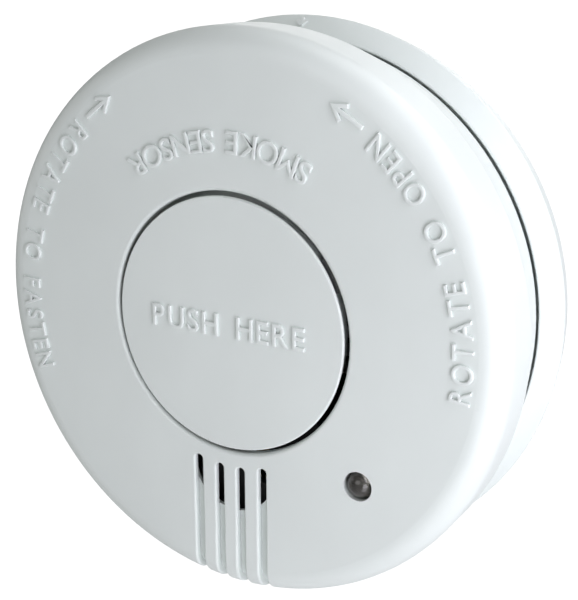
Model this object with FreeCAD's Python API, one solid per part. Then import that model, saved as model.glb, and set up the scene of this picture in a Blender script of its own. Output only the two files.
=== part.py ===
import FreeCAD, Part
import math
import os

# Ceiling or wall smoke detector: a round cover on a rear chassis, twisted onto a mounting bracket.
# Every piece is drawn in the mounting frame: x to the right, y up and z the height above the wall, all in mm.
# The exported parts stand on the wall: +X right, +Z up, -Y out of the wall, origin at the bracket's back.

V = FreeCAD.Vector
TO_WALL = FreeCAD.Rotation(V(1, 0, 0), 90)

# Front cover
COVER_R = 50.5
COVER_REAR_R = 47.0
FACE_H = 32.0
CREASE_H = 20.6
COVER_REAR_H = 8.25
SHOULDER_R = 4.4
WALL = 2.0
HOLE_R = 23.5
HOLE_ROUND = 0.7
TOUCH = 1e-3
INNER_H = FACE_H - WALL

# Vent grooves below the button
VENT_XS = (-6.7, -2.2, 2.2, 6.7)
VENT_WIDTH = 1.6
VENT_DEPTH = 1.3
VENT_EDGE_ROUND = 0.4
VENT_END_H = CREASE_H + 0.6
VENT_TOP_R = 26.3
VENT_POCKET_R = 8.5
VENT_POCKET_Y = -26.7
VENT_SKIN = 1.0

# Test button
BUTTON_R = 22.7
BUTTON_H = 32.2
BUTTON_WALL = 1.4
BUTTON_LIP = 0.5
BUTTON_ROUND = 0.3
SKIRT_R = 21.4
SKIRT_WALL = 1.6
SKIRT_H = 28.2
HOOK_R = 24.8
HOOK_H = 29.6
HOOK_DEG = 16.0
STEM_R = 2.0
SEAT_R = (7.3, 6.1)
SEAT_DEPTH = 1.5
RIB_WIDTH = 1.2
SPRING_R = 5.4
SPRING_WIRE_R = 0.3
SPRING_TURNS = 5

# Chassis and battery bay
CHASSIS_R = 44.6
CHASSIS_BACK_H = 8.4
CHASSIS_H = 10.2
RIM_H = 13.2
RIM_WALL = 1.6
BAY_X = (-25.6, 25.2)
BAY_Y = (8.2, 35.4)
BAY_TOP_H = 25.7
BAY_WALL = 1.2
BAY_FLOOR = 1.1
HOUSING_SCREWS = ((34.0, 20.0), (-34.0, 20.0), (-18.0, -34.5), (21.5, -33.2))
BOSS_R = 2.8
BOSS_BORE_R = 1.5
BOSS_FOOT_H = 12.3
PAD_R = 4.4
SCREW_HEAD_HOLE_R = 3.1
SCREW_HOLE_R = 1.7
BOARD_SCREWS = ((-41.0, 2.5), (39.0, -3.0), (-10.0, -40.5))
STANDOFF_R = 2.4
INLET_DEPTH = 1.9
INLET_SPAN = (-4, 4)
INLET_COUNT = 12

# Bracket and bayonet
BRACKET_R = 51.0
BRACKET_BACK_R = 49.8
BRACKET_EDGE_H = 5.0
CREST_R = 47.6
CREST_H = 7.65
DISH_R = 47.15
PLATE_H = 2.0
PLATE_RIB_H = 3.2
RING_RIB_R = (21.2, 20.0)
HOOK_ANGLES = (84.0, 204.0, 324.0)
HOOK_WALL_R = (43.4, 41.8)
HOOK_TIP_R = 38.2
HOOK_TOP_H = (5.7, 6.9)
HOOK_SPAN = (-5.0, 5.0)
STOP_SPAN = (-7.0, -5.0)
TAB_WALL_R = (37.8, 36.2)
TAB_TIP_R = 41.4
TAB_FOOT_H = (3.9, 5.3)
TAB_SPAN = (-4.4, 13.6)
SLOT_PITCH = 60.0
SLOT_R = 2.1
SLOT_LENGTH = 9.0
MARK_WIDTH = 0.5
MARK_RISE = 0.4
MARK_SINK = 0.6
MARK_FOOT = -0.7
MARK_STEM = 1.5
MARK_BARB = 1.3

# Circuit board and what stands on it
BOARD_R = 42.5
BOARD_EDGE_Y = 6.7
BOARD_BACK_H = 13.0
BOARD_H = 14.6
CHAMBER = (-25.0, -11.0)
CHAMBER_R = 17.5
CHAMBER_FLOOR_H = 16.2
CHAMBER_LID_H = 24.7
CHAMBER_TOP_H = 26.4
VANE_COUNT = 20
VANE_BEND_R = 14.2
VANE_REACH = 2.0
VANE_WIDTH = 0.8
VANE_TURNS = (30, -40)
OPTIC_ANGLES = (65.0, 200.0)
OPTIC_H = 19.4
OPTIC_R = 1.5
OPTIC_X = (6.0, 9.4)
OPTIC_CHANNEL = ((3.2, 12.0), (-2.6, 2.6), (CHAMBER_FLOOR_H - 0.1, OPTIC_H + 3.2))
SCREEN_ROWS = 3
SCREEN_PITCH = 2.5
SCREEN_WINDOW_H = 1.7
SCREEN_WINDOWS = 30
SOUNDER = (4.0, -27.5)
SOUNDER_R = 15.0
SOUNDER_TOP_H = 26.4
HORN_MOUTH_R = 3.4
HORN_ROOM_R = 12.0
HORN_ROOF = 1.4
LEDGE_H = 18.5
PIEZO_R = 13.4
PIEZO_H = (18.1, 18.4)
CERAMIC_R = 9.6
CERAMIC_H = (17.85, 18.1)
LED = (25.6, -24.3)
LED_R = 2.45
LED_TIP_H = 32.8
LED_HOLE_R = 2.65
LED_FOOT_H = 24.2
LED_FLANGE_R = 2.9
LED_POST_XS = (-0.635, 0.635)
LED_POST = 0.5
LED_POST_TOP_H = 28.2
LED_CUP_R = 0.75
LED_CUP_H = (27.4, 28.6)
LED_CUP_X = -0.45
CHIP = (26.0, -7.0)
CHIP_SIZE = (10.0, 6.2)
CHIP_PINS_A_SIDE = 8
PIN_PITCH = 1.27
PIN_WIDTH = 0.45
SWITCH_SIZE = 6.2
SWITCH_H = 18.1
PLUNGER_R = 1.75
PLUNGER_H = 19.4
STEM_GAP = 0.2

# Battery, lying along x, and its leads
BATTERY_X = (-25.1, 20.9)
BATTERY_Y = (8.55, 35.05)
BATTERY_H = (7.9, 25.4)
BATTERY_MID_Y = (BATTERY_Y[0] + BATTERY_Y[1]) / 2
BATTERY_MID_H = (BATTERY_H[0] + BATTERY_H[1]) / 2
SNAP_PITCH = 12.7
SNAP_X = (BATTERY_X[1], BATTERY_X[1] + 2.5)
CONNECTOR_X = (23.6, 25.0)
CONNECTOR_SIZE = (25.0, 13.0)
LEAD_R = 0.65
LEAD_BEND = 2.0
LEAD_H = 18.0
LEAD_STARTS = ((CONNECTOR_X[1], 25.0, LEAD_H), (CONNECTOR_X[1], 19.0, LEAD_H))
LEAD_XS = (30.0, 27.9)
LEAD_PAD_Y = 4.6


# ---- shapes shared by the pieces ----

def disc(radius, low, high, at=(0.0, 0.0)):
    return Part.makeCylinder(radius, high - low, V(at[0], at[1], low))


def tube(outer, inner, low, high, at=(0.0, 0.0)):
    return disc(outer, low, high, at).cut(disc(inner, low - 1, high + 1, at))


def block(xs, ys, zs):
    return Part.makeBox(xs[1] - xs[0], ys[1] - ys[0], zs[1] - zs[0], V(xs[0], ys[0], zs[0]))


def block_at(at, size, low, high):
    return Part.makeBox(size[0], size[1], high - low, V(at[0] - size[0] / 2, at[1] - size[1] / 2, low))


def sector(outer, inner, low, high, start, end, at=(0.0, 0.0)):
    """Part of a tube between two angles, counted from +x towards +y."""
    base = V(at[0], at[1], low)
    wedge = Part.makeCylinder(outer, high - low, base, V(0, 0, 1), end - start)
    wedge.rotate(base, V(0, 0, 1), start)
    return wedge.cut(disc(inner, low - 1, high + 1, at))


def radial_rib(start, end, low, high):
    """Stiffening rib that runs outwards along x."""
    return block((start, end), (-RIB_WIDTH / 2, RIB_WIDTH / 2), (low, high))


def outline(points):
    """Closed face in the x-z plane from (x, z, corner radius) points."""
    corners = []
    count = len(points)
    for i, (x, z, radius) in enumerate(points):
        here = V(x, 0, z)
        before = V(points[i - 1][0], 0, points[i - 1][1]) - here
        after = V(points[(i + 1) % count][0], 0, points[(i + 1) % count][1]) - here
        before.normalize()
        after.normalize()
        if not radius:
            corners.append((here, None, here))
            continue
        half = before.getAngle(after) / 2
        run = radius / math.tan(half)
        inward = before + after
        inward.normalize()
        middle = here + inward * (radius / math.sin(half) - radius)
        corners.append((here + before * run, middle, here + after * run))
    edges = []
    for i, (start, middle, end) in enumerate(corners):
        if middle:
            edges.append(Part.Arc(start, middle, end).toShape())
        following = corners[(i + 1) % count][0]
        if end.distanceToPoint(following) > 1e-6:
            edges.append(Part.makeLine(end, following))
    return Part.Face(Part.Wire(edges))


def turned(points, at=(0.0, 0.0)):
    """Solid of revolution about z from (radius, height, corner radius) points."""
    solid = outline(points).revolve(V(0, 0, 0), V(0, 0, 1), 360)
    solid.translate(V(at[0], at[1], 0))
    return solid


def around(shape, angles):
    """Copies of a shape turned about the main axis."""
    copies = []
    for angle in angles:
        copy = shape.copy()
        copy.rotate(V(0, 0, 0), V(0, 0, 1), angle)
        copies.append(copy)
    return copies


def evenly(count, first=0.0):
    return [first + 360.0 * i / count for i in range(count)]


def joined(shapes):
    return shapes[0].fuse(shapes[1:]).removeSplitter()


def wire_path(points, radius, bend):
    """Round wire through corner points, with an arc of the bend radius at each inner corner."""
    corners = [V(*p) for p in points]
    edges = []
    start = corners[0]
    for i in range(1, len(corners) - 1):
        before = corners[i - 1] - corners[i]
        after = corners[i + 1] - corners[i]
        before.normalize()
        after.normalize()
        half = before.getAngle(after) / 2
        run = bend / math.tan(half)
        inward = before + after
        inward.normalize()
        middle = corners[i] + inward * (bend / math.sin(half) - bend)
        edges.append(Part.makeLine(start, corners[i] + before * run))
        start = corners[i] + after * run
        edges.append(Part.Arc(corners[i] + before * run, middle, start).toShape())
    edges.append(Part.makeLine(start, corners[-1]))
    spine = Part.Wire(edges)
    ring = Part.Wire(Part.makeCircle(radius, corners[0], corners[1] - corners[0]))
    return spine.makePipeShell([ring], True, False)


def screw(at, head_r, head_low, head_high, shank_r, tip_h, head_up):
    """Pan-head screw with a cross recess in the outer side of its head."""
    rim = head_r * 0.35
    outer, inner = (head_high, head_low) if head_up else (head_low, head_high)
    head = turned([(0, inner, 0), (head_r, inner, 0), (head_r, outer, rim), (0, outer, 0)], at)
    shank = disc(shank_r, min(inner, tip_h), max(inner, tip_h), at)
    depth = (head_high - head_low) * 0.6
    recess = (outer - depth, outer + 1) if head_up else (outer - 1, outer + depth)
    cross = block_at(at, (head_r * 1.1, head_r * 0.22), *recess)
    cross = cross.fuse(block_at(at, (head_r * 0.22, head_r * 1.1), *recess))
    return head.fuse(shank).cut(cross).removeSplitter()


# ---- outer pieces ----

def vent_strip(x, low_y, high_h, low_h):
    """Straight strip with a round upper end, seen from the front."""
    top = -math.sqrt(VENT_TOP_R ** 2 - x ** 2) - VENT_WIDTH / 2
    half = VENT_WIDTH / 2
    strip = block((x - half, x + half), (low_y, top), (low_h, high_h))
    return strip.fuse(disc(half, low_h, high_h, (x, top)))


def vent_grooves():
    """Grooves of even depth that run down the face, over the shoulder and along the side."""
    floor_h = FACE_H - VENT_DEPTH
    floor_r = COVER_R - VENT_DEPTH
    skin = turned([
        (HOLE_R, floor_h, 0),
        (floor_r, floor_h, SHOULDER_R - VENT_DEPTH),
        (floor_r, VENT_END_H, 0),
        (COVER_R + 2, VENT_END_H, 0),
        (COVER_R + 2, FACE_H + 2, 0),
        (HOLE_R, FACE_H + 2, 0),
    ])
    strips = [vent_strip(x, -COVER_R - 3, FACE_H + 3, CREASE_H - 1) for x in VENT_XS]
    return [skin.common(strip) for strip in strips]


def on_cover_skin(point):
    """True for a point on the cover's face, shoulder or straight side."""
    r = math.hypot(point.x, point.y)
    centre_r = COVER_R - SHOULDER_R
    centre_h = FACE_H - SHOULDER_R
    if r <= centre_r:
        return abs(point.z - FACE_H) < TOUCH
    if point.z >= centre_h:
        return abs(math.hypot(r - centre_r, point.z - centre_h) - SHOULDER_R) < TOUCH
    return abs(r - COVER_R) < TOUCH


def is_vent_mouth(edge):
    """True for the edges where a groove's walls meet the cover's skin."""
    first, last = edge.ParameterRange
    points = [edge.valueAt(first + (last - first) * i / 4) for i in range(5)]
    if not all(on_cover_skin(point) for point in points):
        return False
    width = max(point.x for point in points) - min(point.x for point in points)
    off_wall = min(abs(abs(points[0].x - x) - VENT_WIDTH / 2) for x in VENT_XS)
    along_wall = width < TOUCH and off_wall < TOUCH
    round_end = edge.Curve.TypeId == "Part::GeomCircle" and abs(edge.Curve.Radius - VENT_WIDTH / 2) < TOUCH
    return along_wall or round_end


def front_cover():
    shell = turned([
        (HOLE_R, INNER_H, 0),
        (HOLE_R, FACE_H, HOLE_ROUND),
        (COVER_R, FACE_H, SHOULDER_R),
        (COVER_R, CREASE_H, 0.8),
        (COVER_REAR_R, COVER_REAR_H, 0.4),
        (COVER_REAR_R - WALL, COVER_REAR_H, 0),
        (COVER_R - WALL, CREASE_H, 0.8),
        (COVER_R - WALL, INNER_H, SHOULDER_R - WALL),
    ])
    bosses = [tube(BOSS_R, BOSS_BORE_R, BOSS_FOOT_H, INNER_H + 0.1, at) for at in HOUSING_SCREWS]
    shell = joined([shell] + bosses)
    pocket = disc(VENT_POCKET_R, INNER_H - 1, FACE_H - VENT_SKIN, (0, VENT_POCKET_Y))
    pocket = pocket.cut(disc(HOOK_R + 0.4, 0, FACE_H))
    led_hole = disc(LED_HOLE_R, INNER_H - 1, FACE_H + 1, LED)
    shell = shell.cut([pocket, led_hole] + vent_grooves())
    return shell.makeFillet(VENT_EDGE_ROUND, [edge for edge in shell.Edges if is_vent_mouth(edge)])


def test_button():
    back_h = BUTTON_H - BUTTON_WALL
    lip_h = BUTTON_H - BUTTON_LIP
    face = turned([
        (0, back_h, 0),
        (SKIRT_R, back_h, 0),
        (SKIRT_R, lip_h, 0),
        (BUTTON_R, lip_h, 0),
        (BUTTON_R, BUTTON_H, BUTTON_ROUND),
        (0, BUTTON_H, 0),
    ])
    skirt_inner = SKIRT_R - SKIRT_WALL
    skirt = tube(SKIRT_R, skirt_inner, SKIRT_H, back_h)
    hook = sector(HOOK_R, SKIRT_R - 0.2, SKIRT_H, HOOK_H, -HOOK_DEG / 2, HOOK_DEG / 2)
    seat = tube(*SEAT_R, back_h - SEAT_DEPTH, back_h)
    rib = radial_rib(SEAT_R[0] - 0.3, skirt_inner + 0.2, back_h - SEAT_DEPTH, back_h)
    stem = disc(STEM_R, PLUNGER_H + STEM_GAP, back_h)
    return joined([face, skirt, seat, stem] + around(hook, evenly(3, 30)) + around(rib, evenly(6)))


def button_spring():
    low = BOARD_H + SPRING_WIRE_R + 0.05
    high = BUTTON_H - BUTTON_WALL - SPRING_WIRE_R - 0.05
    pitch = (high - low) / SPRING_TURNS
    helix = Part.makeLongHelix(pitch, high - low, SPRING_R)
    helix.translate(V(0, 0, low))
    along = V(0, 2 * math.pi * SPRING_R, pitch)
    section = Part.Wire(Part.makeCircle(SPRING_WIRE_R, V(SPRING_R, 0, low), along))
    return Part.Wire(helix.Edges).makePipeShell([section], True, True)


def bayonet_tabs():
    tab = [
        sector(*TAB_WALL_R, TAB_FOOT_H[0], CHASSIS_BACK_H + 0.1, *TAB_SPAN),
        sector(TAB_TIP_R, TAB_WALL_R[1], *TAB_FOOT_H, *TAB_SPAN),
    ]
    return around(joined(tab), HOOK_ANGLES)


def chassis():
    plate = disc(CHASSIS_R, CHASSIS_BACK_H, CHASSIS_H)
    rim = tube(CHASSIS_R, CHASSIS_R - RIM_WALL, CHASSIS_H, RIM_H)
    bay = block(
        (BAY_X[0] - BAY_WALL, BAY_X[1] + BAY_WALL),
        (BAY_Y[0] - BAY_WALL, BAY_Y[1] + BAY_WALL),
        (CHASSIS_BACK_H, BAY_TOP_H + BAY_FLOOR),
    )
    bay = bay.common(disc(CHASSIS_R, 0, FACE_H))
    pads = [disc(PAD_R, CHASSIS_BACK_H, BOSS_FOOT_H - 0.3, at) for at in HOUSING_SCREWS]
    standoffs = [disc(STANDOFF_R, CHASSIS_H, BOARD_BACK_H, at) for at in BOARD_SCREWS]
    body = joined([plate, rim, bay] + pads + standoffs + bayonet_tabs())
    cuts = [block(BAY_X, BAY_Y, (0, BAY_TOP_H))]
    cuts += [disc(SCREW_HEAD_HOLE_R, CHASSIS_BACK_H - 1, CHASSIS_H, at) for at in HOUSING_SCREWS]
    cuts += [disc(SCREW_HOLE_R, CHASSIS_BACK_H, BOSS_FOOT_H, at) for at in HOUSING_SCREWS]
    cuts += [disc(1.0, CHASSIS_H, BOARD_BACK_H + 1, at) for at in BOARD_SCREWS]
    cuts += [lead_hole(start) for start in LEAD_STARTS]
    inlet = sector(CHASSIS_R + 1, CHASSIS_R - INLET_DEPTH, CHASSIS_BACK_H - 1, RIM_H + 1, *INLET_SPAN)
    cuts += around(inlet, evenly(INLET_COUNT, 15))
    return body.cut(cuts)


def mounting_bracket():
    dish = turned([
        (0, 0, 0),
        (BRACKET_BACK_R, 0, 0.4),
        (BRACKET_R, BRACKET_EDGE_H, 0.5),
        (CREST_R, CREST_H, 0.4),
        (DISH_R, CREST_H, 0.2),
        (DISH_R, PLATE_H, 0.6),
        (0, PLATE_H, 0),
    ])
    foot_h = PLATE_H - 0.1
    outer = HOOK_WALL_R[0]
    hook = joined([
        sector(*HOOK_WALL_R, foot_h, HOOK_TOP_H[1], *HOOK_SPAN),
        sector(outer, HOOK_TIP_R, *HOOK_TOP_H, *HOOK_SPAN),
        sector(outer, HOOK_TIP_R, foot_h, HOOK_TOP_H[1], *STOP_SPAN),
    ])
    ring_rib = tube(*RING_RIB_R, foot_h, PLATE_RIB_H)
    spoke = radial_rib(RING_RIB_R[0] - 0.2, TAB_WALL_R[1] - 0.4, foot_h, PLATE_RIB_H)
    ribs = [ring_rib] + around(spoke, evenly(8, 22.5))
    body = joined([dish, arrow_mark()] + ribs + around(hook, HOOK_ANGLES))
    return body.cut(around(screw_slot(), evenly(4)))


def screw_slot():
    reach = SLOT_LENGTH / 2 - SLOT_R
    centre = SLOT_PITCH / 2
    middle = block((centre - reach, centre + reach), (-SLOT_R, SLOT_R), (-1, PLATE_H + 1))
    ends = [disc(SLOT_R, -1, PLATE_H + 1, (centre + side * reach, 0)) for side in (-1, 1)]
    return joined([middle] + ends)


def arrow_mark():
    """Raised alignment arrow on the sloping rim at twelve o'clock, pointing inwards."""
    half = MARK_WIDTH / 2
    stem = block((-half, half), (MARK_FOOT, MARK_FOOT + MARK_STEM), (-MARK_SINK, MARK_RISE))
    barbs = []
    for angle in (-45, 45):
        barb = block((-half, half), (MARK_FOOT, MARK_FOOT + MARK_BARB), (-MARK_SINK, MARK_RISE))
        barb.rotate(V(0, MARK_FOOT, 0), V(0, 0, 1), angle)
        barbs.append(barb)
    mark = joined([stem] + barbs)
    slope = math.degrees(math.atan2(CREST_H - BRACKET_EDGE_H, BRACKET_R - CREST_R))
    mark.rotate(V(0, 0, 0), V(1, 0, 0), -slope)
    mark.translate(V(0, (BRACKET_R + CREST_R) / 2 + 0.4, (BRACKET_EDGE_H + CREST_H) / 2 - 0.28))
    return mark


# ---- battery ----

def lying(shape, at_y, at_h, x):
    """Turns a shape drawn about z so that it lies along x, starting at x."""
    shape.rotate(V(0, 0, 0), V(0, 1, 0), 90)
    shape.translate(V(x, at_y, at_h))
    return shape


def snap_ys():
    return BATTERY_MID_Y - SNAP_PITCH / 2, BATTERY_MID_Y + SNAP_PITCH / 2


def battery():
    case = block(BATTERY_X, BATTERY_Y, BATTERY_H)
    long_edges = [e for e in case.Edges if abs(e.Vertexes[0].X - e.Vertexes[1].X) > 1]
    return case.makeFillet(2.0, long_edges)


def battery_terminals():
    length = SNAP_X[1] - SNAP_X[0]
    male = lying(disc(2.9, 0, length), snap_ys()[0], BATTERY_MID_H, SNAP_X[0])
    female = lying(tube(4.3, 3.2, 0, length), snap_ys()[1], BATTERY_MID_H, SNAP_X[0])
    return Part.makeCompound([male, female])


def battery_connector():
    half_y, half_h = CONNECTOR_SIZE[0] / 2, CONNECTOR_SIZE[1] / 2
    ys = (BATTERY_MID_Y - half_y, BATTERY_MID_Y + half_y)
    plate = block(CONNECTOR_X, ys, (BATTERY_MID_H - half_h, BATTERY_MID_H + half_h))
    depth = CONNECTOR_X[0] - SNAP_X[0] - 0.4
    x = CONNECTOR_X[0] - depth
    cup = lying(tube(4.3, 3.1, 0, depth + 0.1), snap_ys()[0], BATTERY_MID_H, x)
    stud = lying(disc(2.9, 0, depth + 0.1), snap_ys()[1], BATTERY_MID_H, x)
    return joined([plate, cup, stud])


def lead_hole(start):
    return lying(disc(LEAD_R + 0.25, -2, 4), start[1], start[2], start[0])


def battery_lead(index):
    x, y, h = LEAD_STARTS[index]
    run_x = LEAD_XS[index]
    points = ((x, y, h), (run_x, y, h), (run_x, LEAD_PAD_Y, h), (run_x, LEAD_PAD_Y, BOARD_H))
    return wire_path(points, LEAD_R, LEAD_BEND)


# ---- circuit board and electronics ----

def circuit_board():
    board = disc(BOARD_R, BOARD_BACK_H, BOARD_H)
    board = board.cut(block((-50, 50), (BOARD_EDGE_Y, 50), (BOARD_BACK_H - 1, BOARD_H + 1)))
    holes = [disc(3.3, BOARD_BACK_H - 1, BOARD_H + 1, at) for at in HOUSING_SCREWS[2:]]
    holes += [disc(1.2, BOARD_BACK_H - 1, BOARD_H + 1, at) for at in BOARD_SCREWS]
    return board.cut(holes)


def chamber_vane():
    """One bent light-trap vane at the edge of the chamber."""
    heights = (CHAMBER_FLOOR_H, CHAMBER_LID_H - 0.1)
    across = (-VANE_WIDTH / 2, VANE_WIDTH / 2)
    bend = V(VANE_BEND_R, 0, 0)
    outer = block((VANE_BEND_R, VANE_BEND_R + VANE_REACH), across, heights)
    outer.rotate(bend, V(0, 0, 1), VANE_TURNS[0])
    inner = block((VANE_BEND_R - VANE_REACH, VANE_BEND_R + 0.3), across, heights)
    inner.rotate(bend, V(0, 0, 1), VANE_TURNS[1])
    return outer.fuse(inner)


def chamber_base():
    floor = disc(CHAMBER_R, BOARD_H, CHAMBER_FLOOR_H)
    channel = block(*OPTIC_CHANNEL)
    base = joined([floor] + around(chamber_vane(), evenly(VANE_COUNT, 9)) + around(channel, OPTIC_ANGLES))
    base = base.cut(around(optic(0.15, 2.0, 12.5), OPTIC_ANGLES)).removeSplitter()
    base.translate(V(CHAMBER[0], CHAMBER[1], 0))
    return base


def optic(grow, start, end):
    """Round 3 mm optical part lying along x, pointing at the chamber's centre."""
    return Part.makeCylinder(OPTIC_R + grow, end - start, V(start, 0, OPTIC_H), V(1, 0, 0))


def optic_part(angle):
    lens = Part.makeSphere(OPTIC_R, V(OPTIC_X[0], 0, OPTIC_H))
    barrel = optic(0, *OPTIC_X)
    part = around(lens.fuse(barrel).removeSplitter(), [angle])[0]
    part.translate(V(CHAMBER[0], CHAMBER[1], 0))
    return part


def chamber_cover():
    step_r = CHAMBER_R - 0.9
    return turned([
        (0, CHAMBER_LID_H + 0.3, 0),
        (step_r, CHAMBER_LID_H + 0.3, 0),
        (step_r, CHAMBER_LID_H, 0),
        (CHAMBER_R, CHAMBER_LID_H, 0),
        (CHAMBER_R, CHAMBER_TOP_H, 0.6),
        (0, CHAMBER_TOP_H, 0),
    ], CHAMBER)


def insect_screen():
    ring = tube(CHAMBER_R - 0.2, CHAMBER_R - 0.7, CHAMBER_FLOOR_H, CHAMBER_LID_H)
    windows = []
    for row in range(SCREEN_ROWS):
        low = CHAMBER_FLOOR_H + 0.8 + SCREEN_PITCH * row
        window = block((16, 18), (-0.75, 0.75), (low, low + SCREEN_WINDOW_H))
        windows += around(window, evenly(SCREEN_WINDOWS))
    ring = ring.cut(windows)
    ring.translate(V(CHAMBER[0], CHAMBER[1], 0))
    return ring


def sounder_housing():
    cup_r = PIEZO_R + 0.3
    roof_h = SOUNDER_TOP_H - HORN_ROOF
    horn = turned([
        (HORN_ROOM_R, LEDGE_H, 0),
        (cup_r, LEDGE_H, 0),
        (cup_r, BOARD_H + 0.4, 0),
        (SOUNDER_R, BOARD_H + 0.4, 0),
        (SOUNDER_R, SOUNDER_TOP_H, 0.8),
        (HORN_MOUTH_R, SOUNDER_TOP_H, 0.4),
        (HORN_MOUTH_R, roof_h, 0),
        (HORN_ROOM_R, roof_h, 1.0),
    ], SOUNDER)
    feet = [sector(SOUNDER_R, cup_r, BOARD_H, BOARD_H + 0.5, a - 8, a + 8, SOUNDER) for a in evenly(3, 90)]
    return joined([horn] + feet)


def sounder_retainer():
    return tube(PIEZO_R + 0.1, PIEZO_R - 2.0, BOARD_H + 0.8, PIEZO_H[0] - 0.05, SOUNDER)


def piezo_disc():
    return disc(PIEZO_R, PIEZO_H[0], PIEZO_H[1], SOUNDER)


def piezo_ceramic():
    return disc(CERAMIC_R, CERAMIC_H[0], CERAMIC_H[1], SOUNDER)


def piezo_contact(at, tip_h):
    """Leaf spring with its foot on the board and its tip under the disc."""
    foot = block((-1.0, 1.0), (-0.6, 0.6), (BOARD_H, BOARD_H + 0.3))
    arm = outline([(0.7, BOARD_H, 0), (1.0, BOARD_H, 0), (4.0, tip_h, 0), (3.6, tip_h, 0)])
    arm = arm.extrude(V(0, 1.2, 0))
    arm.translate(V(0, -0.6, 0))
    contact = foot.fuse(arm).removeSplitter()
    contact.translate(V(at[0], at[1], 0))
    return contact


def piezo_contacts():
    x, y = SOUNDER
    on_ceramic = [piezo_contact((x - 5.0, y + side * 3.0), CERAMIC_H[0]) for side in (-1, 1)]
    on_disc = piezo_contact((x + 6.6, y), PIEZO_H[0])
    return Part.makeCompound(on_ceramic + [on_disc])


def led_frame(grow):
    """Two posts inside the lens and the reflector cup on the left one, grown on every side."""
    side = LED_POST + 2 * grow
    spots = [(LED[0] + x, LED[1]) for x in LED_POST_XS]
    posts = [block_at(at, (side, side), LED_FOOT_H - 0.2, LED_POST_TOP_H + grow) for at in spots]
    cup = disc(LED_CUP_R + grow, LED_CUP_H[0] - grow, LED_CUP_H[1] + grow, (LED[0] + LED_CUP_X, LED[1]))
    return [posts[0].fuse(cup), posts[1]]


def status_led():
    shoulder_h = LED_TIP_H - LED_R
    lens = turned([
        (0, LED_FOOT_H, 0),
        (LED_FLANGE_R, LED_FOOT_H, 0),
        (LED_FLANGE_R, LED_FOOT_H + 1.0, 0),
        (LED_R, LED_FOOT_H + 1.0, 0),
        (LED_R, shoulder_h, 0),
        (0, shoulder_h, 0),
    ], LED)
    dome = Part.makeSphere(LED_R, V(LED[0], LED[1], shoulder_h))
    return lens.fuse(dome).removeSplitter().cut(led_frame(0.04))


def led_leads():
    leads = []
    for x, post in zip(LED_POST_XS, led_frame(0.0)):
        leg = block_at((LED[0] + x, LED[1]), (LED_POST, LED_POST), BOARD_H, LED_FOOT_H)
        leads.append(post.fuse(leg).removeSplitter())
    return Part.makeCompound(leads)


def switch_body():
    body = block_at((0, 0), (SWITCH_SIZE, SWITCH_SIZE), BOARD_H, SWITCH_H)
    return body.cut(disc(PLUNGER_R + 0.05, BOARD_H + 0.2, SWITCH_H + 1))


def switch_plunger():
    foot_h = BOARD_H + 1.4
    return turned([(0, foot_h, 0), (PLUNGER_R, foot_h, 0), (PLUNGER_R, PLUNGER_H, 0.3), (0, PLUNGER_H, 0)])


def microcontroller():
    body = block_at(CHIP, CHIP_SIZE, BOARD_H + 0.3, BOARD_H + 2.6)
    body = body.cut(disc(0.5, BOARD_H + 2.4, BOARD_H + 3, (CHIP[0] - 3.9, CHIP[1] - 1.8)))
    pin_h = BOARD_H + 1.4
    pins = []
    for i in range(CHIP_PINS_A_SIDE):
        x = CHIP[0] + (i - (CHIP_PINS_A_SIDE - 1) / 2) * PIN_PITCH
        for side in (-1, 1):
            edge = CHIP[1] + side * CHIP_SIZE[1] / 2
            shoulder = block_at((x, edge + side * 0.45), (PIN_WIDTH, 0.9), pin_h - 0.2, pin_h)
            leg = block_at((x, edge + side * 0.8), (PIN_WIDTH, 0.2), BOARD_H, pin_h)
            pins.append(shoulder.fuse(leg).removeSplitter())
    return Part.makeCompound([body] + pins)


def can(at, radius, height):
    """Electrolytic capacitor with a rolled groove near its foot."""
    low = BOARD_H + 0.3
    high = low + height
    can_body = turned([(0, low, 0), (radius, low, 0.3), (radius, high, 0.4), (0, high, 0)], at)
    groove = tube(radius + 1, radius - 0.25, low + 1.2, low + 1.7, at)
    legs = [disc(0.3, BOARD_H, low, (at[0] + side * 1.2, at[1])) for side in (-1, 1)]
    return joined([can_body.cut(groove)] + legs)


def capacitors():
    return Part.makeCompound([can((36.3, -10.5), 3.15, 7.0), can((20.5, -14.8), 2.5, 5.5)])


def axial(at, radius, length, pitch):
    """Axial component lying along x on two bent legs."""
    height = BOARD_H + radius + 0.3
    body = Part.makeCylinder(radius, length, V(at[0] - length / 2, at[1], height), V(1, 0, 0))
    half = pitch / 2
    points = (
        (at[0] - half, at[1], BOARD_H),
        (at[0] - half, at[1], height),
        (at[0] + half, at[1], height),
        (at[0] + half, at[1], BOARD_H),
    )
    return body.fuse(wire_path(points, 0.3, 0.7)).removeSplitter()


def resistors():
    row = [axial((13.0, y), 1.1, 6.0, 9.6) for y in (-3.0, -6.4, -9.8)]
    return Part.makeCompound(row + [axial((30.6, 1.6), 1.1, 5.0, 8.0)])


def diode():
    return axial((0.0, -9.6), 1.0, 4.2, 8.0)


def inductor():
    flange_r, core_r = 3.5, 2.9
    return turned([
        (0, BOARD_H, 0),
        (flange_r, BOARD_H, 0),
        (flange_r, BOARD_H + 1.0, 0),
        (core_r, BOARD_H + 1.0, 0),
        (core_r, BOARD_H + 5.0, 0),
        (flange_r, BOARD_H + 5.0, 0),
        (flange_r, BOARD_H + 6.0, 0),
        (0, BOARD_H + 6.0, 0),
    ], (20.3, 1.6))


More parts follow.
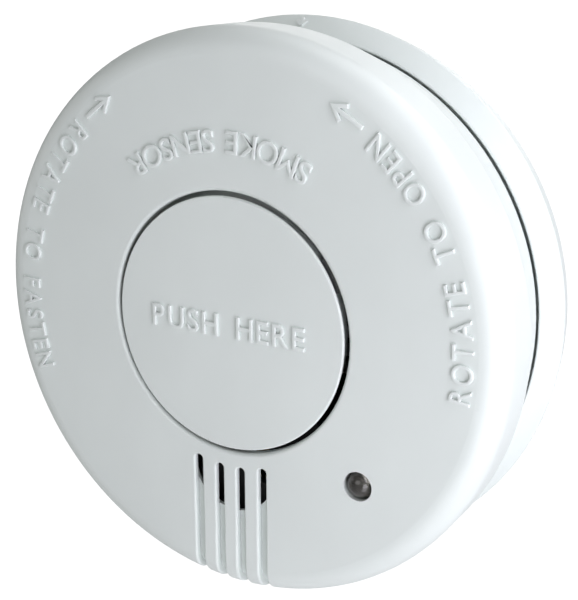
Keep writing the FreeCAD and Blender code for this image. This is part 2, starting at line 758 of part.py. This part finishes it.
def transistor():
    at = (32.3, -18.6)
    body = disc(2.3, BOARD_H + 2.5, BOARD_H + 7.1, at)
    body = body.cut(block((at[0] - 3, at[0] + 3), (at[1] - 3, at[1] - 1.3), (BOARD_H, BOARD_H + 8)))
    xs = (-PIN_PITCH, 0, PIN_PITCH)
    legs = [block_at((at[0] + x, at[1]), (PIN_WIDTH, 0.4), BOARD_H, BOARD_H + 2.6) for x in xs]
    return joined([body] + legs)


def housing_screws():
    shapes = [screw(at, 2.7, 8.6, CHASSIS_H, 1.4, 21.0, False) for at in HOUSING_SCREWS]
    return Part.makeCompound(shapes)


def board_screws():
    shapes = [screw(at, 1.9, BOARD_H, BOARD_H + 1.2, 0.9, CHASSIS_H + 0.3, True) for at in BOARD_SCREWS]
    return Part.makeCompound(shapes)


def pieces():
    return {
        "mounting_bracket": mounting_bracket(),
        "front_cover": front_cover(),
        "chassis": chassis(),
        "test_button": test_button(),
        "button_spring": button_spring(),
        "circuit_board": circuit_board(),
        "switch_body": switch_body(),
        "switch_plunger": switch_plunger(),
        "chamber_base": chamber_base(),
        "chamber_cover": chamber_cover(),
        "insect_screen": insect_screen(),
        "ir_emitter": optic_part(OPTIC_ANGLES[0]),
        "photodiode": optic_part(OPTIC_ANGLES[1]),
        "sounder_housing": sounder_housing(),
        "sounder_retainer": sounder_retainer(),
        "piezo_disc": piezo_disc(),
        "piezo_ceramic": piezo_ceramic(),
        "piezo_contacts": piezo_contacts(),
        "status_led": status_led(),
        "led_leads": led_leads(),
        "microcontroller": microcontroller(),
        "capacitors": capacitors(),
        "resistors": resistors(),
        "diode": diode(),
        "inductor": inductor(),
        "transistor": transistor(),
        "battery": battery(),
        "battery_terminals": battery_terminals(),
        "battery_connector": battery_connector(),
        "battery_lead_red": battery_lead(0),
        "battery_lead_black": battery_lead(1),
        "housing_screws": housing_screws(),
        "board_screws": board_screws(),
    }


os.makedirs("parts", exist_ok=True)
for name, shape in pieces().items():
    shape.rotate(V(0, 0, 0), TO_WALL.Axis, math.degrees(TO_WALL.Angle))
    shape.exportStep("parts/" + name + ".step")
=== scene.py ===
"""Looks of the smoke detector: finishes, raised lettering, camera, floor and studio light."""

import math

import bmesh
import bpy
from mathutils import Matrix, Vector


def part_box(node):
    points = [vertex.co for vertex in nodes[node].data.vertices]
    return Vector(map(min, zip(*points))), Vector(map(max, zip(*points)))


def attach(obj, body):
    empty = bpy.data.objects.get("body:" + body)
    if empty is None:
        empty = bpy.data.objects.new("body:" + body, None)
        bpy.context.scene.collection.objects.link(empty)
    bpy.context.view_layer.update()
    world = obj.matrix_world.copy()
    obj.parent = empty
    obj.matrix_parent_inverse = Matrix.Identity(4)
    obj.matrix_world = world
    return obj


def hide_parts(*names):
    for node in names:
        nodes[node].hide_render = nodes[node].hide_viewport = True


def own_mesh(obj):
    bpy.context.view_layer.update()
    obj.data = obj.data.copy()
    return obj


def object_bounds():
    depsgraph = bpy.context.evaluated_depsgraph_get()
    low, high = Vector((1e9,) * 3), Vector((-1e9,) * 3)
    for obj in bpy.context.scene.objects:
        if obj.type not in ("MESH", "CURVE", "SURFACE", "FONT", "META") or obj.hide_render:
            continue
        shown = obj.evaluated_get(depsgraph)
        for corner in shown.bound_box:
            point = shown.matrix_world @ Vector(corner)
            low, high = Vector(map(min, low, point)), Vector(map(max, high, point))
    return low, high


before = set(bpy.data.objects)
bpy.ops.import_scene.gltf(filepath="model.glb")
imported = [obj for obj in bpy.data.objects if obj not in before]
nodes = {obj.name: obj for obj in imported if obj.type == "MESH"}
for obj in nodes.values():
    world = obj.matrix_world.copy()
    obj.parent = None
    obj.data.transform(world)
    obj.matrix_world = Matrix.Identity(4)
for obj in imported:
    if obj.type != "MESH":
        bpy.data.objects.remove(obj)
cad_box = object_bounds()

MM = 0.001

# ---------------------------------------------------------------- camera

CAMERA_PLACE = Vector((110.777, -201.016, 63.879)) * MM
CAMERA_TURN = 30.167
CAMERA_TILT = 73.103
LENS = 73.66
SHIFT = (-0.0021, 0.0193)


def make_camera():
    """The camera stands to the right of the face and a little above it."""
    data = bpy.data.cameras.new("camera")
    data.lens = LENS
    data.shift_x, data.shift_y = SHIFT
    data.clip_start = 0.01
    camera = bpy.data.objects.new("camera", data)
    bpy.context.scene.collection.objects.link(camera)
    camera.location = CAMERA_PLACE
    camera.rotation_euler = (math.radians(CAMERA_TILT), 0, math.radians(CAMERA_TURN))
    bpy.context.scene.camera = camera


# ---------------------------------------------------------------- node helpers


def add(tree, kind, inputs=None, **settings):
    """A new shader node. An input's value is a number, a colour or another node's output socket."""
    made = tree.nodes.new("ShaderNode" + kind)
    for name, value in settings.items():
        setattr(made, name, value)
    for name, value in (inputs or {}).items():
        if isinstance(value, bpy.types.NodeSocket):
            tree.links.new(value, made.inputs[name])
        else:
            made.inputs[name].default_value = value
    return made


def noise(tree, place, per_metre, detail=3.0, stretch=None):
    """Noise with that many lumps per metre. stretch squeezes it along the axes."""
    if stretch:
        place = add(tree, "Mapping", {"Vector": place, "Scale": stretch}).outputs["Vector"]
    made = add(tree, "TexNoise", {"Vector": place, "Scale": per_metre, "Detail": detail})
    return made.outputs["Fac"]


def ranged(tree, value, low, high, from_low=0.3, from_high=0.7):
    """value, from from_low to from_high, spread over low to high."""
    made = add(tree, "MapRange", {"Value": value, "From Min": from_low, "From Max": from_high,
                                  "To Min": low, "To Max": high})
    return made.outputs["Result"]


def mixed(tree, amount, one, other):
    """Colour one where amount is 0 and other where it is 1."""
    made = add(tree, "Mix", {"Factor": amount}, data_type="RGBA")
    for socket, colour in ((made.inputs[6], one), (made.inputs[7], other)):
        if isinstance(colour, bpy.types.NodeSocket):
            tree.links.new(colour, socket)
        else:
            socket.default_value = (*colour, 1)
    return made.outputs[2]


def edges(tree, radius):
    """1 along the edges of the shape and 0 away from them."""
    rounded = add(tree, "Bevel", {"Radius": radius}, samples=4).outputs["Normal"]
    true = add(tree, "NewGeometry").outputs["Normal"]
    dot = add(tree, "VectorMath", operation="DOT_PRODUCT")
    tree.links.new(rounded, dot.inputs[0])
    tree.links.new(true, dot.inputs[1])
    return ranged(tree, dot.outputs["Value"], 1.0, 0.0, 0.86, 0.995)


GAP_REACH = 4.0 * MM


def painted_gap_shade(tree, closed, open_enough):
    """Painted shade: 0 deep inside narrow gaps, where little light gets in, and 1 in the open; the colour is
    darkened by it to stand in for shade.
    """
    openness = add(tree, "AmbientOcclusion", {"Distance": GAP_REACH}, samples=8).outputs["AO"]
    return ranged(tree, openness, 0.0, 1.0, closed, open_enough)


def bumped(tree, height, distance, strength, under=None):
    inputs = {"Height": height, "Distance": distance, "Strength": strength}
    if under:
        inputs["Normal"] = under
    return add(tree, "Bump", inputs).outputs["Normal"]


def material(name, **sockets):
    """A material with its node tree, object coordinates and shader."""
    made = bpy.data.materials.new(name)
    made.use_nodes = True
    tree = made.node_tree
    shader = tree.nodes["Principled BSDF"]
    for socket, value in sockets.items():
        shader.inputs[socket.replace("_", " ")].default_value = value
    return made, tree, add(tree, "TexCoord").outputs["Object"], shader


def join(tree, shader, colour, roughness, normal):
    tree.links.new(colour, shader.inputs["Base Color"])
    tree.links.new(roughness, shader.inputs["Roughness"])
    tree.links.new(normal, shader.inputs["Normal"])


# ---------------------------------------------------------------- finishes

# Painted shade: the ambient-occlusion ranges over which the colour fades towards near black in narrow gaps,
# and how dark it gets there.
GAP_SHADE_RANGE = (0.03, 0.20)
# The button's range paints the shade wider and deeper in the gap round it.
BUTTON_SHADE_RANGE = (0.16, 0.42)
GAP_SHADE_LEVEL = 0.07
FLOW_SHADE = 0.955
RUBBED_EDGE = 0.4 * MM
FLOW_STRETCH = (1.0, 1.0, 0.35)
DRAWN = (1.0, 1.0, 0.08)


def moulded(name, colour, worn, rough, grain_per_metre=2600, grain=0.008, gaps=GAP_SHADE_RANGE):
    """Moulded plastic: a fine spark-eroded grain, faint flow clouds, rubbed edges and painted shade darkening
    narrow gaps.
    """
    made, tree, place, shader = material(name)
    clouds = noise(tree, place, 45, 2.0)
    flow = noise(tree, place, 160, 4.0, FLOW_STRETCH)
    shade = tuple(c * FLOW_SHADE for c in colour)
    body = mixed(tree, ranged(tree, clouds, 0.0, 1.0), colour, shade)
    body = mixed(tree, ranged(tree, flow, 0.0, 0.35), body, shade)
    body = mixed(tree, edges(tree, RUBBED_EDGE), body, worn)
    gap_shade_colour = tuple(c * GAP_SHADE_LEVEL for c in colour)
    # Painted shade: deep in narrow gaps the colour is darkened towards near black.
    body = mixed(tree, painted_gap_shade(tree, *gaps), gap_shade_colour, body)
    fine = noise(tree, place, grain_per_metre, 2.0)
    wide = noise(tree, place, 38, 1.0)
    normal = bumped(tree, wide, 0.03 * MM, 0.35)
    normal = bumped(tree, fine, grain * MM, 0.5, normal)
    roughness = ranged(tree, noise(tree, place, 420, 3.0), rough - 0.05, rough + 0.06)
    join(tree, shader, body, roughness, normal)
    return made


def metal(name, colour, rough, brushed=DRAWN, per_metre=2500, tarnish=0.82):
    """Drawn or plated metal with fine drawing lines and cloudy tarnish."""
    made, tree, place, shader = material(name, Metallic=1.0)
    clouds = noise(tree, place, 300, 3.0)
    dull = tuple(c * tarnish for c in colour)
    body = mixed(tree, ranged(tree, clouds, 0.0, 1.0), colour, dull)
    lines = noise(tree, place, per_metre, 3.0, brushed)
    roughness = ranged(tree, lines, rough - 0.07, rough + 0.12)
    join(tree, shader, body, roughness, bumped(tree, lines, 0.004 * MM, 0.5))
    return made


def circuit(name):
    """Solder mask over copper: green, a little darker between the tracks."""
    made, tree, place, shader = material(name)
    turned = add(tree, "Mapping", {"Vector": place, "Rotation": (math.pi / 2, 0, 0)})
    tracks = add(tree, "TexBrick", {"Vector": turned.outputs["Vector"], "Scale": 260.0, "Mortar Size": 0.08,
                                    "Mortar Smooth": 0.2, "Brick Width": 2.3, "Row Height": 0.5})
    mask = tracks.outputs["Fac"]
    body = mixed(tree, mask, (0.012, 0.075, 0.028), (0.03, 0.16, 0.06))
    body = mixed(tree, ranged(tree, noise(tree, place, 120), 0.0, 0.4), body, (0.01, 0.06, 0.03))
    roughness = ranged(tree, noise(tree, place, 700), 0.25, 0.4)
    join(tree, shader, body, roughness, bumped(tree, mask, 0.03 * MM, 0.6))
    return made


def clear(name):
    """Cast clear resin, faintly smoky, with the finest orange peel."""
    made, tree, place, shader = material(name, Transmission_Weight=0.82, IOR=1.5)
    haze = ranged(tree, noise(tree, place, 500), 0.0, 1.0)
    body = mixed(tree, haze, (0.32, 0.31, 0.27), (0.25, 0.24, 0.22))
    roughness = ranged(tree, noise(tree, place, 900), 0.015, 0.05)
    join(tree, shader, body, roughness, bumped(tree, noise(tree, place, 900), 0.004 * MM, 0.3))
    return made


def ceramic(name):
    """Silvered ceramic: pale, matte, with a fine screen-printed grain."""
    made, tree, place, shader = material(name, Metallic=0.35)
    body = mixed(tree, ranged(tree, noise(tree, place, 1400), 0.0, 1.0), (0.72, 0.7, 0.66), (0.6, 0.59, 0.57))
    roughness = ranged(tree, noise(tree, place, 2000), 0.45, 0.65)
    join(tree, shader, body, roughness, bumped(tree, noise(tree, place, 4000), 0.006 * MM, 0.5))
    return made


WHITE = (0.80, 0.855, 0.833)
WORN = (0.86, 0.88, 0.88)
WHITE_ROUGHNESS = 0.40
EVEN = (1.0, 1.0, 1.0)
FINISHES = {
    "white_plastic": lambda n: moulded(n, WHITE, WORN, WHITE_ROUGHNESS),
    "dark_plastic": lambda n: moulded(n, (0.018, 0.018, 0.019), (0.05, 0.05, 0.05), 0.45),
    "battery_case": lambda n: moulded(n, (0.05, 0.07, 0.10), (0.25, 0.26, 0.27), 0.30, 900, 0.004),
    "red_insulation": lambda n: moulded(n, (0.42, 0.018, 0.015), (0.5, 0.05, 0.04), 0.42, 1800, 0.01),
    "black_insulation": lambda n: moulded(n, (0.014, 0.014, 0.015), (0.04, 0.04, 0.04), 0.42, 1800, 0.01),
    "board": circuit,
    "clear_lens": clear,
    "spring_steel": lambda n: metal(n, (0.55, 0.55, 0.56), 0.28),
    "screw_steel": lambda n: metal(n, (0.60, 0.60, 0.62), 0.32, EVEN, 1800),
    "brass_disc": lambda n: metal(n, (0.72, 0.52, 0.22), 0.26, EVEN, 1500),
    "can_aluminium": lambda n: metal(n, (0.70, 0.70, 0.71), 0.30, (1.0, 0.1, 1.0)),
    "nickel": lambda n: metal(n, (0.66, 0.63, 0.58), 0.22),
    "ceramic": ceramic,
}


def dress():
    """Every CAD node gets the finish of its material slot. The button's finish paints darker shade further
    out into the gap round it.
    """
    made = {slot: build(slot + "_finish") for slot, build in FINISHES.items()}
    for node in nodes.values():
        for place in node.material_slots:
            place.material = made[place.material.name]
    # Painted shade, wider and deeper, in the gap round the button.
    button_shaded_finish = moulded("button_finish", WHITE, WORN, WHITE_ROUGHNESS, gaps=BUTTON_SHADE_RANGE)
    nodes["test_button"].material_slots[0].material = button_shaded_finish
    return made


# ---------------------------------------------------------------- button spring


def shortening_spring():
    """The button's return spring: a copy of the CAD coil, standing on the board and moving with the alarm
    body, with the CAD node hidden.
    """
    spring = bpy.data.objects.new("spring_coil", nodes["button_spring"].data.copy())
    bpy.context.scene.collection.objects.link(spring)
    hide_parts("button_spring")
    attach(spring, "alarm")
    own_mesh(spring)


# ---------------------------------------------------------------- raised lettering

BODY_SLOT = "white_plastic"
RELIEF = 0.48 * MM
SUNK = 0.12 * MM
EDGE_ROUND = 0.21 * MM
STROKE_TRIM = 0.12 * MM
WORD_SPACE = 0.55
ARROW_LINE = 0.56 * MM
BARB = 2.65 * MM
BARB_LEAN = math.radians(32)


def relief(curve):
    """Makes a flat outline into a raised one with rounded edges, standing up along +Z from -SUNK."""
    curve.dimensions = "2D"
    curve.fill_mode = "BOTH"
    curve.extrude = (RELIEF + SUNK) / 2 - EDGE_ROUND
    curve.bevel_depth = EDGE_ROUND
    curve.bevel_resolution = 3
    curve.offset = -STROKE_TRIM
    shown = bpy.data.objects.new(curve.name, curve)
    bpy.context.scene.collection.objects.link(shown)
    bpy.context.view_layer.update()
    seen = shown.evaluated_get(bpy.context.evaluated_depsgraph_get())
    mesh = bpy.data.meshes.new_from_object(seen)
    bpy.data.objects.remove(shown)
    mesh.transform(Matrix.Translation((0, 0, (RELIEF - SUNK) / 2)))
    return mesh


def glyph(letter, cap_height, condensed):
    """A raised letter with its foot on Y = 0 and its left side on X = 0, and its width."""
    curve = bpy.data.curves.new("letter", "FONT")
    curve.body = letter
    curve.size = cap_height / CAP_PER_SIZE
    mesh = relief(curve)
    mesh.transform(Matrix.Diagonal((condensed, 1, 1, 1)))
    across = [v.co.x for v in mesh.vertices]
    mesh.transform(Matrix.Translation((-min(across), 0, 0)))
    return mesh, max(across) - min(across)


def arrow(length):
    """A raised open arrow from the origin to X = length."""
    half = ARROW_LINE / 2
    along = Vector((-math.cos(BARB_LEAN), math.sin(BARB_LEAN)))
    aside = Vector((math.sin(BARB_LEAN), math.cos(BARB_LEAN)))
    tip = Vector((length, 0))
    point = half / math.sin(BARB_LEAN)
    neck = length - point - half / math.tan(BARB_LEAN)
    barb_end = tip + along * BARB
    upper = [Vector((0, half)), Vector((neck, half)), barb_end - aside * half, barb_end + aside * half,
             tip + aside * half]
    outline = upper + [Vector((length + point, 0))]
    outline += [Vector((p.x, -p.y)) for p in reversed(upper)]
    curve = bpy.data.curves.new("arrow", "CURVE")
    line = curve.splines.new("POLY")
    line.points.add(len(outline) - 1)
    for corner, place in zip(line.points, outline):
        corner.co = (place.x, place.y, 0, 1)
    line.use_cyclic_u = True
    return relief(curve)


def on_arc(angle, radius, height):
    """Stands a raised mark on the face, reading anticlockwise with its top towards the centre."""
    turn = math.radians(angle)
    out = Vector((math.cos(turn), 0, math.sin(turn)))
    reading = Vector((-math.sin(turn), 0, math.cos(turn)))
    return placed(out * radius + Vector((0, height, 0)), reading, -out)


def placed(origin, right, up):
    """The matrix that lays a mark's X along right, its Y along up and its relief along -Y of the frame."""
    front = Vector((0, -1, 0))
    return Matrix.Translation(origin) @ Matrix((right, up, front)).transposed().to_4x4()


def spread(text, cap_height, condensed, length):
    """Each letter's mesh, and how far along that length its middle comes. The gaps are all equal."""
    made = [None if letter == " " else glyph(letter, cap_height, condensed) for letter in text]
    space = cap_height * WORD_SPACE
    taken = sum(space if g is None else g[1] for g in made)
    gap = (length - taken) / (len(made) - 1)
    at = 0.0
    for g in made:
        width = space if g is None else g[1]
        if g:
            g[0].transform(Matrix.Translation((-width / 2, 0, 0)))
            yield g[0], at + width / 2
        at += width + gap


def as_piece(name, meshes, body):
    """One object from these placed meshes, in the cover's white plastic, moving with that body."""
    whole = bmesh.new()
    for mesh in meshes:
        whole.from_mesh(mesh)
        bpy.data.meshes.remove(mesh)
    bmesh.ops.remove_doubles(whole, verts=whole.verts, dist=0.002 * MM)
    mesh = bpy.data.meshes.new(name)
    whole.to_mesh(mesh)
    whole.free()
    for face in mesh.polygons:
        face.use_smooth = True
    mesh.set_sharp_from_angle(angle=math.radians(40))
    mesh.materials.append(finishes[BODY_SLOT])
    piece = bpy.data.objects.new(name, mesh)
    bpy.context.scene.collection.objects.link(piece)
    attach(piece, body)
    return piece


def arc_text(text, radius, cap_height, condensed, start, end, face):
    """Letters along an arc of the face from angle start to angle end; radius is at their feet."""
    sweep = math.radians(end - start) * radius
    made = []
    for mesh, along in spread(text, cap_height, condensed, sweep):
        angle = start + math.degrees(along / radius)
        mesh.transform(on_arc(angle, radius, face))
        made.append(mesh)
    return made


def straight_text(text, cap_height, condensed, length, middle, face):
    """Letters along a level line centred on X = 0; middle is the height of their middle."""
    made = []
    for mesh, along in spread(text, cap_height, condensed, length):
        foot = Vector((along - length / 2, face, middle - cap_height / 2))
        mesh.transform(placed(foot, Vector((1, 0, 0)), Vector((0, 0, 1))))
        made.append(mesh)
    return made


def arc_arrow(tail_angle, head_angle, radius, face):
    """An arrow along the rim of the face."""
    length = abs(math.radians(head_angle - tail_angle)) * radius
    middle = (tail_angle + head_angle) / 2
    mesh = arrow(length)
    mesh.transform(Matrix.Translation((-length / 2, 0, 0)))
    if head_angle < tail_angle:
        mesh.transform(Matrix.Rotation(math.pi, 4, "Z"))
    mesh.transform(on_arc(middle, radius, face))
    return mesh


def cap_height_per_size():
    """The height of a capital letter of size 1."""
    curve = bpy.data.curves.new("measure", "FONT")
    curve.body = "H"
    curve.size = 1.0
    shown = bpy.data.objects.new("measure", curve)
    bpy.context.scene.collection.objects.link(shown)
    bpy.context.view_layer.update()
    tall = shown.dimensions.y
    bpy.data.objects.remove(shown)
    return tall


def letter_the_face():
    """Raised words and arrows on the cover, and the words on the button."""
    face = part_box("front_cover")[0].y
    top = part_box("test_button")[0].y
    fasten = arc_text("ROTATE TO FASTEN", 45.6 * MM, 3.7 * MM, 0.80, 133, 199.5, face)
    fasten.append(arc_arrow(130, 122.4, 44.3 * MM, face))
    as_piece("words_fasten", fasten, "alarm")
    release = arc_text("ROTATE TO OPEN", 45.3 * MM, 3.45 * MM, 0.86, -7.8, 51.5, face)
    release.append(arc_arrow(54.8, 62.6, 44.0 * MM, face))
    as_piece("words_release", release, "alarm")
    sensor = arc_text("SMOKE SENSOR", 33.7 * MM, 3.7 * MM, 1.0, 60, 127, face)
    as_piece("words_sensor", sensor, "alarm")
    push = straight_text("PUSH HERE", 3.9 * MM, 0.95, 31 * MM, 0.0, top)
    as_piece("words_push", push, "button")


# ---------------------------------------------------------------- floor and light

FLOOR_DROP = 0.30
FLOOR_HALF = 12.0
FLOOR_STEPS = 6
SEEN_WHITE = 1.1
FLOOR_GLOW = 0.10
ROOM_LIGHT = 0.10
PLAIN = (1.0, 1.0, 1.0)
COOL = (0.99, 0.975, 1.05)
LAMPS = (
    ("light_front", (-0.10, -0.80, 0.30), 0.50, 1.44, PLAIN),
    ("light_above", (0.05, 0.05, 0.45), 0.30, 0.372, PLAIN),
    ("light_behind", (0.20, 0.30, 0.40), 0.25, 0.71, PLAIN),
    ("light_left", (-0.45, -0.10, 0.08), 0.30, 0.30, PLAIN),
    ("light_back", (-0.25, 0.75, 0.20), 0.50, 1.10, PLAIN),
    ("light_right_behind", (0.42, 0.15, 0.10), 0.25, 0.507, COOL),
    ("light_right_high", (0.24, -0.08, 0.14), 0.16, 0.338, COOL),
    ("light_right", (0.20, -0.16, -0.03), 0.12, 0.22, COOL),
    ("light_right_low", (0.16, -0.16, -0.14), 0.12, 0.105, COOL),
)


def make_floor():
    """A wide pale floor well below the object."""
    low = cad_box[0].z - FLOOR_DROP
    mesh = bpy.data.meshes.new("floor")
    grid = bmesh.new()
    bmesh.ops.create_grid(grid, x_segments=FLOOR_STEPS, y_segments=FLOOR_STEPS, size=FLOOR_HALF)
    grid.to_mesh(mesh)
    grid.free()
    floor = bpy.data.objects.new("floor", mesh)
    bpy.context.scene.collection.objects.link(floor)
    floor.location.z = low
    made, tree, place, shader = material("floor_paint", Roughness=0.9)
    shader.inputs["Base Color"].default_value = (0.9, 0.9, 0.9, 1)
    shader.inputs["Emission Color"].default_value = (1, 1, 1, 1)
    shader.inputs["Emission Strength"].default_value = FLOOR_GLOW
    glow = add(tree, "Emission", {"Color": (1, 1, 1, 1), "Strength": SEEN_WHITE})
    choice = add(tree, "MixShader", {"Fac": add(tree, "LightPath").outputs["Is Camera Ray"]})
    tree.links.new(shader.outputs[0], choice.inputs[1])
    tree.links.new(glow.outputs[0], choice.inputs[2])
    tree.links.new(choice.outputs[0], tree.nodes["Material Output"].inputs["Surface"])
    mesh.materials.append(made)


def lamp(name, place, size, power, tint):
    """A square soft light at place, facing the middle of the object."""
    data = bpy.data.lights.new(name, "AREA")
    data.size = size
    data.energy = power
    data.color = tint
    made = bpy.data.objects.new(name, data)
    bpy.context.scene.collection.objects.link(made)
    made.location = place
    made.rotation_euler = (-Vector(place)).to_track_quat("-Z", "Y").to_euler()
    made.visible_camera = False


def make_light():
    """A dim pale room with soft lights in front, above, behind and on both sides."""
    world = bpy.data.worlds.new("studio")
    bpy.context.scene.world = world
    world.use_nodes = True
    tree = world.node_tree
    room = tree.nodes["Background"]
    room.inputs["Color"].default_value = (1, 1, 1, 1)
    room.inputs["Strength"].default_value = ROOM_LIGHT
    seen = add(tree, "Background", {"Color": (1, 1, 1, 1), "Strength": SEEN_WHITE})
    choice = add(tree, "MixShader", {"Fac": add(tree, "LightPath").outputs["Is Camera Ray"]})
    tree.links.new(room.outputs[0], choice.inputs[1])
    tree.links.new(seen.outputs[0], choice.inputs[2])
    tree.links.new(choice.outputs[0], tree.nodes["World Output"].inputs["Surface"])
    for name, place, size, power, tint in LAMPS:
        lamp(name, place, size, power, tint)


make_camera()
finishes = dress()
CAP_PER_SIZE = cap_height_per_size()
shortening_spring()
letter_the_face()
make_floor()
make_light()
bpy.context.scene.view_settings.view_transform = "Standard"
